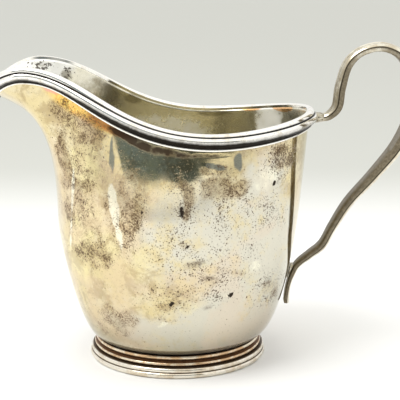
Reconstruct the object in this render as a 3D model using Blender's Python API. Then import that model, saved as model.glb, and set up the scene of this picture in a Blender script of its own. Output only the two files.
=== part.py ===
"""Silver cream jug.

A spun body squeezed to an egg-shaped mouth with a drooping pouring lip, a reeded moulding
soldered over the rim, a moulded foot in two turned rings, and a high looped handle soldered
to the moulding and low on the body.

Units are metres, +Z is up, the lip points along -X and the handle along +X.
"""

import math

import bmesh
import bpy
from mathutils import Vector
from mathutils.geometry import interpolate_bezier

# The foot's centre line stands a little towards the lip, so that the jug's length is centred on X = 0.
FOOT_CENTRE_X = -0.00824

GAP = 0.0003  # clearance between soldered pieces
WALL = 0.0008  # thickness of the body's sheet

# Rim line, half of it: the top outer edge of the body's wall, as curve points (x, half width, height)
# with x measured from the foot's centre line.
RIM_BACK = Vector((0.0408, 0.0000, 0.0771))
RIM_SIDE = Vector((0.0105, 0.0319, 0.0733))
RIM_CREST = Vector((-0.0444, 0.0198, 0.0912))
RIM_TIP = Vector((-0.0576, 0.0000, 0.0832))
BACK_REACH = 0.0192  # how far the rim stays square to the length at the back
SIDE_REACH_BACK = 0.0140  # how far it stays level and parallel towards the back
SIDE_REACH_LIP = 0.0285
CREST_REACH_BACK = 0.0180
CREST_REACH_TIP = 0.0070
TIP_REACH = Vector((0.0, 0.0135, 0.0020))
RIM_STEPS = (9, 13, 8)  # spans of each stretch of the half outline

# Body profile: two curves in each upright plane through the foot's centre line.
# Each tuple holds the value at the side, at the back under the handle, and under the lip.
FOOT_JOINT = (0.0257, 0.0071)  # radius and height where the body leaves the foot
BELLY_HEIGHT = 0.0440
BELLY_RADIUS = (0.0362, 0.03775, 0.0372)
FOOT_LEAN = 80.0  # degrees from upright
BELLY_LEAN = (2.0, 6.5, 0.5)
RIM_LEAN = (-13.0, 4.0, 62.0)
FOOT_PULL = (0.0055, 0.0068, 0.0046)
BELLY_PULL_DOWN = (0.0100, 0.0108, 0.0095)
BELLY_PULL_UP = (0.0110, 0.0080, 0.0345)
RIM_PULL = (0.0100, 0.0080, 0.0156)
BACK_FOCUS = 2  # how sharply the back's shape is gathered round the jug's length
LIP_FOCUS = 5  # the same for the lip's shape
LOWER_STEPS = 8
UPPER_STEPS = 11

BOTTOM_RINGS = ((0.0230, 0.0057), (0.0180, 0.0052), (0.0090, 0.0055))  # radius, height
BOTTOM_CENTRE = 0.0056

# Rim moulding section: distance out from the wall's face, height above the wall's edge.
MOULDING_INSIDE = ((GAP, -0.0037), (GAP, GAP), (-WALL, GAP), (-WALL, 0.0008))
MOULDING_REEDS = (
    # centre out, centre up, radius, start angle, end angle, spans; angles turn clockwise from up
    (0.0003, 0.00005, 0.00125, -45.0, 85.0, 5),
    (0.00125, -0.0012, 0.00125, 25.0, 155.0, 6),
    (0.00075, -0.0033, 0.00045, 45.0, 180.0, 4),
)

# Foot rings: radius and height. The border's rolls are arcs, the collar has a bead above a cove.
FOOT_SIDES = 56
BORDER_INSIDE = ((0.0247, 0.0032), (0.0247, 0.0006), (0.0250, 0.0))
BORDER_ARCS = (
    # centre radius, centre height, radius of the arc, start angle, end angle, spans
    (0.0269, 0.00095, 0.00095, 180.0, 30.0, 5),
    (0.02665, 0.0024, 0.00085, 130.0, 10.0, 4),
)
BORDER_LEDGE = (0.0260, 0.0032)
COLLAR_INSIDE = ((0.0236, 0.0056), (0.0236, 0.0035))
COLLAR_FOOT = (0.0261, 0.0035)
COLLAR_ARCS = (
    (0.0259, 0.0041, 0.00055, 130.0, 20.0, 3),
    (0.0254, 0.0060, 0.00065, 150.0, 20.0, 4),
)
COLLAR_COVE = (0.0250, 0.0051)
COLLAR_TOP = (0.0246, 0.0061)

# Handle: centre line through these places, with thickness and width there (x from the foot's centre).
HANDLE_PATH = (
    # x, z, thickness, width
    (0.0448, 0.0752, 0.0022, 0.0042),
    (0.0469, 0.0759, 0.0026, 0.0050),
    (0.0493, 0.0787, 0.0031, 0.0058),
    (0.0501, 0.0845, 0.0032, 0.0062),
    (0.0522, 0.0916, 0.0030, 0.0064),
    (0.0566, 0.0957, 0.0028, 0.0066),
    (0.0632, 0.0968, 0.0028, 0.0070),
    (0.0694, 0.0936, 0.0032, 0.0078),
    (0.0730, 0.0866, 0.0037, 0.0086),
    (0.0731, 0.0768, 0.0041, 0.0090),
    (0.0690, 0.0666, 0.0039, 0.0086),
    (0.0617, 0.0572, 0.0033, 0.0078),
    (0.0538, 0.0482, 0.0028, 0.0072),
    (0.0491, 0.0405, 0.0026, 0.0068),
    (0.0459, 0.0346, 0.0025, 0.0064),
    (0.0418, 0.0312, 0.0023, 0.0060),
    (0.0381, 0.0281, 0.0020, 0.0056),
    (0.0361, 0.0240, 0.0017, 0.0052),
    (0.0350, 0.0197, 0.0016, 0.0050),
    (0.0347, 0.0160, 0.0017, 0.0052),
)
HANDLE_SPANS = 3  # rings for each stretch of the path
REED_COUNT = 3
REED_SPANS = 4
REED_DEPTH = 0.10  # groove depth as a part of the thickness
STRAP_ROUNDING = 0.6  # how far the outer face curves down towards the strap's edges
STRAP_EDGE_RISE = 0.12  # height of the inner corners, as a part of the thickness
STRAP_INNER_HALF = 0.43  # half of the flat inner face, as a part of the width

# Solder at the handle's upper end: a low collar between moulding and handle, as (x, half height, half width).
UPPER_SOLDER_HEIGHT = 0.07515
UPPER_SOLDER = ((0.0436, 0.00125, 0.0023), (0.04405, 0.00155, 0.0026), (0.0445, 0.00125, 0.0023))
SOLDER_SIDES = 16

# Solder where the handle comes down on the body: a wedge between them, outline as (x, z).
LOWER_SOLDER = (
    (0.03462, 0.0240),
    (0.03562, 0.0287),
    (0.03610, 0.0282),
    (0.03670, 0.0284),
    (0.03600, 0.0271),
    (0.03490, 0.0240),
)
LOWER_SOLDER_HALF_WIDTH = 0.0022
LOWER_SOLDER_BEVEL = 0.0004
LOWER_SOLDER_END = 0.6  # size of the wedge's outline at its two ends

POLISHED = (0.83, 0.80, 0.73, 1.0)
TARNISHED = (0.72, 0.68, 0.59, 1.0)
SOLDER = (0.46, 0.42, 0.36, 1.0)


def clear_scene():
    for old in list(bpy.data.objects):
        bpy.data.objects.remove(old, do_unlink=True)


def metal(name, colour, roughness):
    """A Principled material for bare metal."""
    material = bpy.data.materials.new(name)
    material.use_nodes = True
    shader = material.node_tree.nodes["Principled BSDF"]
    shader.inputs["Base Color"].default_value = colour
    shader.inputs["Metallic"].default_value = 1.0
    shader.inputs["Roughness"].default_value = roughness
    material.diffuse_color = colour
    return material


def add_object(name, bm, material, sharp_angle=40.0):
    """Turns the bmesh into an object on the foot's centre line, shaded smooth but for its edges."""
    mesh = bpy.data.meshes.new(name)
    bm.to_mesh(mesh)
    bm.free()
    mesh.shade_smooth()
    mesh.set_sharp_from_angle(angle=math.radians(sharp_angle))
    mesh.materials.append(material)
    obj = bpy.data.objects.new(name, mesh)
    obj.location = (FOOT_CENTRE_X, 0.0, 0.0)
    bpy.context.collection.objects.link(obj)
    return obj


def bridge(bm, ring, following):
    """Faces between two neighbouring rings of vertices."""
    for i in range(len(ring)):
        j = (i + 1) % len(ring)
        bm.faces.new((ring[i], ring[j], following[j], following[i]))


def swept(sections, looped):
    """A closed skin over a row of sections, either looped back to the first or capped at both ends."""
    bm = bmesh.new()
    rings = [[bm.verts.new(point) for point in section] for section in sections]
    for ring, following in zip(rings, rings[1:]):
        bridge(bm, ring, following)
    if looped:
        bridge(bm, rings[-1], rings[0])
    else:
        bm.faces.new(rings[0])
        bm.faces.new(rings[-1])
    bmesh.ops.recalc_face_normals(bm, faces=bm.faces)
    return bm


def arc(centre_out, centre_up, radius, start, end, spans):
    """Points of an arc, angles in degrees clockwise from straight up."""
    points = []
    for i in range(spans + 1):
        angle = math.radians(start + (end - start) * i / spans)
        points.append((centre_out + radius * math.sin(angle), centre_up + radius * math.cos(angle)))
    return points


def rim_half():
    """Points of the rim line from the back round the +Y side to the lip's tip."""
    stretches = (
        (
            RIM_BACK,
            RIM_BACK + Vector((0.0, BACK_REACH, 0.0)),
            RIM_SIDE + Vector((SIDE_REACH_BACK, 0.0, 0.0)),
            RIM_SIDE,
        ),
        (
            RIM_SIDE,
            RIM_SIDE - Vector((SIDE_REACH_LIP, 0.0, 0.0)),
            RIM_CREST + Vector((CREST_REACH_BACK, 0.0, 0.0)),
            RIM_CREST,
        ),
        (
            RIM_CREST,
            RIM_CREST - Vector((CREST_REACH_TIP, 0.0, 0.0)),
            RIM_TIP + TIP_REACH,
            RIM_TIP,
        ),
    )
    points = []
    for curve, steps in zip(stretches, RIM_STEPS):
        points += interpolate_bezier(*curve, steps + 1)[:-1]
    return points + [RIM_TIP.copy()]


def rim_loop():
    """The whole rim line, counter-clockwise from the back."""
    half = rim_half()
    mirrored = [Vector((p.x, -p.y, p.z)) for p in reversed(half[1:-1])]
    return half + mirrored


def by_side(values, angle):
    """Blends the values for side, back and lip at an angle round the foot's centre line."""
    side, back, lip = values
    towards_back = max(0.0, math.cos(angle)) ** BACK_FOCUS
    towards_lip = max(0.0, -math.cos(angle)) ** LIP_FOCUS
    return side + (back - side) * towards_back + (lip - side) * towards_lip


def leaning(degrees):
    """Unit step (out, up) that leans outwards from upright."""
    return Vector((math.sin(math.radians(degrees)), math.cos(math.radians(degrees))))


def meridian(edge):
    """Profile points (radius, height) from the foot joint up to one point of the rim line."""
    angle = math.atan2(edge.y, edge.x)
    joint = Vector(FOOT_JOINT)
    belly = Vector((by_side(BELLY_RADIUS, angle), BELLY_HEIGHT))
    top = Vector((math.hypot(edge.x, edge.y), edge.z))
    belly_step = leaning(by_side(BELLY_LEAN, angle))
    lower = interpolate_bezier(
        joint,
        joint + leaning(FOOT_LEAN) * by_side(FOOT_PULL, angle),
        belly - belly_step * by_side(BELLY_PULL_DOWN, angle),
        belly,
        LOWER_STEPS + 1,
    )
    upper = interpolate_bezier(
        belly,
        belly + belly_step * by_side(BELLY_PULL_UP, angle),
        top - leaning(by_side(RIM_LEAN, angle)) * by_side(RIM_PULL, angle),
        top,
        UPPER_STEPS + 1,
    )
    return lower + upper[1:]


def on_plane(edge, radius, height):
    """The point at a radius and height in the upright plane of a rim point."""
    outward = Vector((edge.x, edge.y, 0.0)).normalized()
    return outward * radius + Vector((0.0, 0.0, height))


def build_body(material):
    """The vessel: outer skin from the middle of the bottom to the rim, thickened inwards."""
    loop = rim_loop()
    profiles = [list(reversed(BOTTOM_RINGS)) + [tuple(p) for p in meridian(edge)] for edge in loop]
    bm = bmesh.new()
    rings = []
    for row in range(len(profiles[0])):
        rings.append([bm.verts.new(on_plane(e, *p[row])) for e, p in zip(loop, profiles)])
    for ring, following in zip(rings, rings[1:]):
        bridge(bm, ring, following)
    centre = bm.verts.new((0.0, 0.0, BOTTOM_CENTRE))
    first = rings[0]
    for i in range(len(first)):
        bm.faces.new((centre, first[(i + 1) % len(first)], first[i]))
    body = add_object("body", bm, material)
    solidify = body.modifiers.new("wall", "SOLIDIFY")
    solidify.thickness = WALL
    solidify.offset = -1.0
    solidify.use_even_offset = True
    return body


def rim_frames():
    """For each rim point: the point, the way out of the wall's face, the way up along the wall."""
    loop = rim_loop()
    frames = []
    for i, edge in enumerate(loop):
        along = (loop[(i + 1) % len(loop)] - loop[i - 1]).normalized()
        angle = math.atan2(edge.y, edge.x)
        lean = leaning(by_side(RIM_LEAN, angle))
        climb = on_plane(edge, lean.x, lean.y)
        out = along.cross(climb).normalized()
        frames.append((edge, out, out.cross(along).normalized()))
    return frames


def build_moulding(material):
    """The reeded moulding: an upper reed over the wall's edge, a bold roll and a fine bead."""
    section = list(MOULDING_INSIDE)
    for reed in MOULDING_REEDS:
        section += arc(*reed)
    sections = [[edge + out * a + up * b for a, b in section] for edge, out, up in rim_frames()]
    return add_object("rim_moulding", swept(sections, looped=True), material)


def turned_ring(name, section, material):
    """A ring turned from a closed section of (radius, height) points."""
    sections = []
    for i in range(FOOT_SIDES):
        turn = 2.0 * math.pi * i / FOOT_SIDES
        sections.append([Vector((r * math.cos(turn), r * math.sin(turn), z)) for r, z in section])
    return add_object(name, swept(sections, looped=True), material)


def build_foot(material):
    """The collar under the body and the border that the jug stands on."""
    collar = list(COLLAR_INSIDE) + [COLLAR_FOOT]
    collar += arc(*COLLAR_ARCS[0]) + [COLLAR_COVE]
    collar += arc(*COLLAR_ARCS[1]) + [COLLAR_TOP]
    turned_ring("foot_collar", collar, material)
    border = list(BORDER_INSIDE)
    for roll in BORDER_ARCS:
        border += arc(*roll)
    turned_ring("foot_border", border + [BORDER_LEDGE], material)


def spline_through(points, spans):
    """A smooth curve through the points, as rows of numbers."""
    rows = []
    last = len(points) - 1
    for i in range(last):
        before, start, end, after = (points[min(max(k, 0), last)] for k in (i - 1, i, i + 1, i + 2))
        for step in range(spans):
            t = step / spans
            row = []
            for a, b, c, d in zip(before, start, end, after):
                bend = (2 * a - 5 * b + 4 * c - d) * t * t + (3 * b - a - 3 * c + d) * t**3
                row.append(b + 0.5 * ((c - a) * t + bend))
            rows.append(row)
    return rows + [list(points[-1])]


def handle_section(thickness, width):
    """A strap section (outwards, sideways): three reeds on the outer face, a flat inner face."""
    points = []
    count = REED_COUNT * REED_SPANS
    for i in range(count + 1):
        across = -1.0 + 2.0 * i / count
        crown = math.sqrt(1.0 - STRAP_ROUNDING * across**2)
        groove = 1.0 - abs(math.sin(math.pi * REED_COUNT * i / count))
        points.append((thickness * (crown - 0.5 - REED_DEPTH * groove), across * width / 2))
    inner = -thickness / 2
    corner = inner + STRAP_EDGE_RISE * thickness
    points.append((corner, width / 2))
    points.append((inner, width * STRAP_INNER_HALF))
    points.append((inner, -width * STRAP_INNER_HALF))
    points.append((corner, -width / 2))
    return points


def build_handle(material):
    """The strap swept along its path in the plane Y = 0."""
    rows = spline_through(HANDLE_PATH, HANDLE_SPANS)
    sections = []
    for i, (x, z, thickness, width) in enumerate(rows):
        before = rows[max(i - 1, 0)]
        after = rows[min(i + 1, len(rows) - 1)]
        along = Vector((after[0] - before[0], 0.0, after[1] - before[1])).normalized()
        out = Vector((-along.z, 0.0, along.x))
        centre = Vector((x, 0.0, z))
        outline = handle_section(thickness, width)
        sections.append([centre + out * a + Vector((0.0, b, 0.0)) for a, b in outline])
    return add_object("handle", swept(sections, looped=False), material)


def build_upper_solder(material):
    """The collar of solder round the end of the handle at the rim."""
    sections = []
    for x, half_height, half_width in UPPER_SOLDER:
        section = []
        for i in range(SOLDER_SIDES):
            turn = 2.0 * math.pi * i / SOLDER_SIDES
            rise = UPPER_SOLDER_HEIGHT + half_height * math.sin(turn)
            section.append(Vector((x, half_width * math.cos(turn), rise)))
        sections.append(section)
    return add_object("upper_joint_solder", swept(sections, looped=False), material)


def build_lower_solder(material):
    """The wedge of solder in the angle between the handle and the body."""
    middle = Vector((0.0, 0.0))
    for corner in LOWER_SOLDER:
        middle += Vector(corner) / len(LOWER_SOLDER)
    outer = LOWER_SOLDER_HALF_WIDTH
    inner = LOWER_SOLDER_HALF_WIDTH - LOWER_SOLDER_BEVEL
    sections = []
    for y, share in ((-outer, LOWER_SOLDER_END), (-inner, 1.0), (inner, 1.0), (outer, LOWER_SOLDER_END)):
        corners = [middle + (Vector(corner) - middle) * share for corner in LOWER_SOLDER]
        sections.append([Vector((c.x, y, c.y)) for c in corners])
    return add_object("lower_joint_solder", swept(sections, looped=False), material)


def main():
    clear_scene()
    body_metal = metal("body_silver", TARNISHED, 0.28)
    mount_metal = metal("moulding_silver", POLISHED, 0.16)
    handle_metal = metal("handle_silver", TARNISHED, 0.25)
    build_body(body_metal)
    build_moulding(mount_metal)
    build_foot(mount_metal)
    build_handle(handle_metal)
    solder = metal("solder", SOLDER, 0.45)
    build_upper_solder(solder)
    build_lower_solder(solder)


main()
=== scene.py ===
"""Silver cream jug: the finished surfaces, with floor, light and camera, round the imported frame.

The jug's shapes follow the same curves as its solids, drawn with many more points. Units are
metres in the frame's own axes: +Z up, lip towards -X, handle towards +X, front towards -Y.
Outlines are measured from the foot's centre line, tarnish patches from the frame's origin.
"""

import math

import bmesh
import bpy
import numpy as np
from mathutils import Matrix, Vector, noise
from mathutils.geometry import interpolate_bezier


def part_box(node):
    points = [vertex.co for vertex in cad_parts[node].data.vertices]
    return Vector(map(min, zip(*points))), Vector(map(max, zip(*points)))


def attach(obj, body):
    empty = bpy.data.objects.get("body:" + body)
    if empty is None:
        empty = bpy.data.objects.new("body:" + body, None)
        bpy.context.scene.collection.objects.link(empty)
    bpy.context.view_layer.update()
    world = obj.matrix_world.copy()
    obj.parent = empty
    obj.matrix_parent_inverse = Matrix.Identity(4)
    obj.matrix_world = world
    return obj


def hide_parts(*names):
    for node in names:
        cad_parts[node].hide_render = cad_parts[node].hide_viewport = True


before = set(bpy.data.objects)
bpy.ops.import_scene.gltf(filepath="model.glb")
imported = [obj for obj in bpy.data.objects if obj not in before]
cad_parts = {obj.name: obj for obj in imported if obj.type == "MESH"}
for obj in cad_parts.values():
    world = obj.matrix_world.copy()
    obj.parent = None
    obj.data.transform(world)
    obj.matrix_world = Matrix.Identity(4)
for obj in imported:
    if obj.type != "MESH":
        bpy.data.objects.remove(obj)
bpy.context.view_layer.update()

MM = 0.001

foot_low, foot_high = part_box("foot_border")
FOOT_X = (foot_low.x + foot_high.x) / 2  # the foot's centre line

# ---------------------------------------------------------------- shape

GAP = 0.0003  # clearance between the frame's soldered pieces
WALL = 0.0008  # thickness of the body's sheet
SEAM = 0.00002  # what is left open where solder has filled the gap under the moulding
SHARP_ANGLE = 50.0  # edges bent by more degrees than this are shaded sharp

# Rim line, half of it: the top outer edge of the body's wall.
RIM_BACK = Vector((0.0408, 0.0000, 0.0771))
RIM_SIDE = Vector((0.0105, 0.0319, 0.0733))
RIM_CREST = Vector((-0.0444, 0.0198, 0.0912))
RIM_TIP = Vector((-0.0576, 0.0000, 0.0832))
BACK_REACH = 0.0192  # how far the rim stays square to the length at the back
SIDE_REACH_BACK = 0.0140  # how far it stays level and parallel towards the back
SIDE_REACH_LIP = 0.0285
CREST_REACH_BACK = 0.0180
CREST_REACH_TIP = 0.0070
TIP_REACH = Vector((0.0, 0.0135, 0.0020))
RIM_STEPS = (34, 54, 30)  # spans of each stretch of the half outline

# Body profile: two curves in each upright plane through the foot's centre line.
# Each tuple of three holds the value at the side, at the back under the handle, and under the lip.
FOOT_JOINT = (0.0257, 0.0071)  # radius and height where the body leaves the foot
BELLY_HEIGHT = 0.0440
BELLY_RADIUS = (0.0362, 0.03775, 0.0372)
FOOT_LEAN = 80.0  # degrees from upright
BELLY_LEAN = (2.0, 6.5, 0.5)
RIM_LEAN = (-13.0, 4.0, 62.0)
FOOT_PULL = (0.0055, 0.0068, 0.0046)
BELLY_PULL_DOWN = (0.0100, 0.0108, 0.0095)
BELLY_PULL_UP = (0.0110, 0.0080, 0.0345)
RIM_PULL = (0.0100, 0.0080, 0.0156)
BACK_FOCUS = 2  # how sharply the back's shape is gathered round the jug's length
LIP_FOCUS = 5  # the same for the lip's shape
LOWER_STEPS = 30
UPPER_STEPS = 46

BOTTOM_RINGS = ((0.0230, 0.0057), (0.0180, 0.0052), (0.0090, 0.0055))  # radius, height
BOTTOM_CENTRE = 0.0056

# Rim moulding section: distance out from the wall's face, height above the wall's edge.
MOULDING_INSIDE = ((GAP, -0.0037), (GAP, SEAM), (-WALL, SEAM), (-WALL, 0.0008))
MOULDING_INSIDE_MARKS = (1.0, 1.0, 0.0, 0.0)  # how dark each of these points is: tarnish, and painted shade where the moulding meets the wall
MOULDING_REEDS = (
    # centre out, centre up, radius, start angle, end angle, spans, darkened share at start and end;
    # angles turn clockwise from up
    # the darkened shares are tarnish with painted shade in the grooves
    (0.0003, 0.00005, 0.00125, -45.0, 85.0, 18, 0.0, 0.07),
    # the bold roll darkens over its lower share: painted shade and dark reflection on its underside
    (0.00125, -0.0012, 0.00125, 25.0, 155.0, 24, 0.04, 0.40),
    (0.00075, -0.0033, 0.00045, 45.0, 180.0, 12, 0.25, 0.2),
)

# Foot rings: radius and height, and arcs as in the moulding.
FOOT_SIDES = 192
BORDER_INSIDE = ((0.0247, 0.0032), (0.0247, 0.0006), (0.0250, 0.0))
BORDER_ARCS = (
    (0.0269, 0.00095, 0.00095, 180.0, 30.0, 16, 0.16, 0.08),
    (0.02665, 0.0024, 0.00085, 130.0, 10.0, 14, 0.1, 0.2),
)
BORDER_LEDGE = (0.0260, 0.0032)
COLLAR_INSIDE = ((0.0236, 0.0056), (0.0236, 0.0035))
COLLAR_FOOT = (0.0261, 0.0035)
COLLAR_ARCS = (
    (0.0259, 0.0041, 0.00055, 130.0, 20.0, 10, 0.2, 0.15),
    (0.0254, 0.0060, 0.00065, 150.0, 20.0, 12, 0.2, 0.15),
)
COLLAR_COVE = (0.0250, 0.0051)
COLLAR_TOP = (0.0246, 0.0061)

HANDLE_PATH = (
    # x, z, thickness, width
    (0.0448, 0.0752, 0.0022, 0.0042),
    (0.0469, 0.0759, 0.0026, 0.0050),
    (0.0493, 0.0787, 0.0031, 0.0058),
    (0.0501, 0.0845, 0.0032, 0.0062),
    (0.0522, 0.0916, 0.0030, 0.0064),
    (0.0566, 0.0957, 0.0028, 0.0066),
    (0.0632, 0.0968, 0.0028, 0.0070),
    (0.0694, 0.0936, 0.0032, 0.0078),
    (0.0730, 0.0866, 0.0037, 0.0086),
    (0.0731, 0.0768, 0.0041, 0.0090),
    (0.0690, 0.0666, 0.0039, 0.0086),
    (0.0617, 0.0572, 0.0033, 0.0078),
    (0.0538, 0.0482, 0.0028, 0.0072),
    (0.0491, 0.0405, 0.0026, 0.0068),
    (0.0459, 0.0346, 0.0025, 0.0064),
    (0.0418, 0.0312, 0.0023, 0.0060),
    (0.0381, 0.0281, 0.0020, 0.0056),
    (0.0361, 0.0240, 0.0017, 0.0052),
    (0.0350, 0.0197, 0.0016, 0.0050),
    (0.0347, 0.0160, 0.0017, 0.0052),
)
HANDLE_SPANS = 9  # between two points of the path
REED_COUNT = 3
REED_SPANS = 10  # across each reed
# Heights below are parts of the strap's thickness, widths are parts of its width.
REED_DEPTH = 0.10
STRAP_ROUNDING = 0.6  # 0 is a flat outer face, 1 a half round one
STRAP_EDGE_RISE = 0.12
STRAP_INNER_HALF = 0.43
STRAP_TOP = 0.95  # width at the reeds and at the inner corners
SIDE_BULGE_AT = -0.08  # height of the widest place

# Solder collar at the handle's upper end.
JOINT_FROM = 0.0428
JOINT_TO = 0.0466
JOINT_HEIGHT = 0.07515
JOINT_SIZE = (0.00145, 0.0024)  # half height, half width
JOINT_FLARE = 0.15  # how much it widens towards the moulding
JOINT_TAPER = 0.5  # how much it narrows at the handle
JOINT_LUMPS = 0.05  # how high its lumps are, over its size
LUMPS_ROUND = 3.0  # waves of lumps round it
LUMPS_TWIST = 5.0  # how many radians they turn over its length
LUMPS_ALONG = 7.0  # their waves along it, in radians
JOINT_RINGS = 14
JOINT_SIDES = 28

# How tarnished the strap's sides and its reeds are, from 0 to 1, at shares of its length from the rim.
FILM_SHARES = (0.0, 0.06, 0.16, 0.28, 0.42, 1.0)
SIDE_FILM = (0.35, 0.85, 0.85, 0.40, 0.95, 0.95)
REED_FILM = (0.25, 0.62, 0.55, 0.20, 0.10, 0.10)
GROOVE_FROM = 0.6  # how deep in a groove the tarnish and painted shade start, as a part of the groove's depth
GROOVE_RISE = 2.5  # how fast it thickens from there
LINE_MARK = 2.0  # a mark above 1 is a thin line of painted shade, darker than any film


def bridge(bm, ring, following):
    """Faces between two closed rings of as many vertices."""
    for i in range(len(ring)):
        j = (i + 1) % len(ring)
        bm.faces.new((ring[i], ring[j], following[j], following[i]))


def finished_mesh(name, bm, materials):
    """A shown piece of the jug at the frame's origin, smooth but for its sharp edges."""
    for vertex in bm.verts:
        vertex.co.x += FOOT_X
    mesh = bpy.data.meshes.new(name)
    bm.to_mesh(mesh)
    bm.free()
    mesh.shade_smooth()
    mesh.set_sharp_from_angle(angle=math.radians(SHARP_ANGLE))
    for material in materials:
        mesh.materials.append(material)
    obj = bpy.data.objects.new(name, mesh)
    bpy.context.scene.collection.objects.link(obj)
    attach(obj, "root")
    return obj


def swept(sections, marks, looped):
    """A closed skin over sections. Each vertex carries its mark as "groove": how dark, by tarnish and painted
    shade.
    """
    bm = bmesh.new()
    layer = bm.verts.layers.float.new("groove")
    rings = []
    for section, section_marks in zip(sections, marks):
        ring = []
        for point, mark in zip(section, section_marks):
            vertex = bm.verts.new(point)
            vertex[layer] = mark
            ring.append(vertex)
        rings.append(ring)
    for ring, following in zip(rings, rings[1:]):
        bridge(bm, ring, following)
    if looped:
        bridge(bm, rings[-1], rings[0])
    else:
        bm.faces.new(rings[0])
        bm.faces.new(rings[-1])
    bmesh.ops.recalc_face_normals(bm, faces=bm.faces)
    return bm


def arc(centre_out, centre_up, radius, start, end, spans):
    """Points of an arc, angles in degrees clockwise from straight up."""
    points = []
    for i in range(spans + 1):
        angle = math.radians(start + (end - start) * i / spans)
        points.append((centre_out + radius * math.sin(angle), centre_up + radius * math.cos(angle)))
    return points


def tarnish_and_shade_at(distance, share):
    """1 at a reed's end, 0.5 where the darkened share of its section ends, 0 beyond: tarnish and painted
    shade.
    """
    return max(0.0, 1.0 - 0.5 * distance / share) if share > 0.0 else 0.0


def marked_arc(centre_out, centre_up, radius, start, end, spans, share_start, share_end):
    """The arc's points and how dark each one is, from 0 to 1, by tarnish and painted shade."""
    points = arc(centre_out, centre_up, radius, start, end, spans)
    marks = []
    for i in range(spans + 1):
        marks.append(max(tarnish_and_shade_at(i / spans, share_start), tarnish_and_shade_at(1.0 - i / spans, share_end)))
    return points, marks


def rim_half():
    """Points of the rim line from the back round the +Y side to the lip's tip."""
    stretches = (
        (
            RIM_BACK,
            RIM_BACK + Vector((0.0, BACK_REACH, 0.0)),
            RIM_SIDE + Vector((SIDE_REACH_BACK, 0.0, 0.0)),
            RIM_SIDE,
        ),
        (
            RIM_SIDE,
            RIM_SIDE - Vector((SIDE_REACH_LIP, 0.0, 0.0)),
            RIM_CREST + Vector((CREST_REACH_BACK, 0.0, 0.0)),
            RIM_CREST,
        ),
        (
            RIM_CREST,
            RIM_CREST - Vector((CREST_REACH_TIP, 0.0, 0.0)),
            RIM_TIP + TIP_REACH,
            RIM_TIP,
        ),
    )
    points = []
    for curve, steps in zip(stretches, RIM_STEPS):
        points += interpolate_bezier(*curve, steps + 1)[:-1]
    return points + [RIM_TIP.copy()]


def rim_loop():
    """Points all the way round the rim line."""
    half = rim_half()
    mirrored = [Vector((p.x, -p.y, p.z)) for p in reversed(half[1:-1])]
    return half + mirrored


def by_side(values, angle):
    """The value in one upright plane, from those at the side, at the back and under the lip."""
    side, back, lip = values
    towards_back = max(0.0, math.cos(angle)) ** BACK_FOCUS
    towards_lip = max(0.0, -math.cos(angle)) ** LIP_FOCUS
    return side + (back - side) * towards_back + (lip - side) * towards_lip


def leaning(degrees):
    """A unit step (out, up) that leans outwards from upright."""
    return Vector((math.sin(math.radians(degrees)), math.cos(math.radians(degrees))))


def meridian(edge):
    """Profile points (radius, height) from the foot joint up to one point of the rim line."""
    angle = math.atan2(edge.y, edge.x)
    joint = Vector(FOOT_JOINT)
    belly = Vector((by_side(BELLY_RADIUS, angle), BELLY_HEIGHT))
    top = Vector((math.hypot(edge.x, edge.y), edge.z))
    belly_step = leaning(by_side(BELLY_LEAN, angle))
    lower = interpolate_bezier(
        joint,
        joint + leaning(FOOT_LEAN) * by_side(FOOT_PULL, angle),
        belly - belly_step * by_side(BELLY_PULL_DOWN, angle),
        belly,
        LOWER_STEPS + 1,
    )
    upper = interpolate_bezier(
        belly,
        belly + belly_step * by_side(BELLY_PULL_UP, angle),
        top - leaning(by_side(RIM_LEAN, angle)) * by_side(RIM_PULL, angle),
        top,
        UPPER_STEPS + 1,
    )
    return lower + upper[1:]


def on_plane(edge, radius, height):
    """A point in the upright plane through the foot's centre line and a point of the rim."""
    outward = Vector((edge.x, edge.y, 0.0)).normalized()
    return outward * radius + Vector((0.0, 0.0, height))


def rim_frames():
    """For each rim point: the point, the way out of the wall's face, the way up along the wall."""
    loop = rim_loop()
    frames = []
    for i, edge in enumerate(loop):
        along = (loop[(i + 1) % len(loop)] - loop[i - 1]).normalized()
        angle = math.atan2(edge.y, edge.x)
        lean = leaning(by_side(RIM_LEAN, angle))
        climb = on_plane(edge, lean.x, lean.y)
        out = along.cross(climb).normalized()
        frames.append((edge, out, out.cross(along).normalized()))
    return frames


# ---------------------------------------------------------------- patina places

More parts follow.
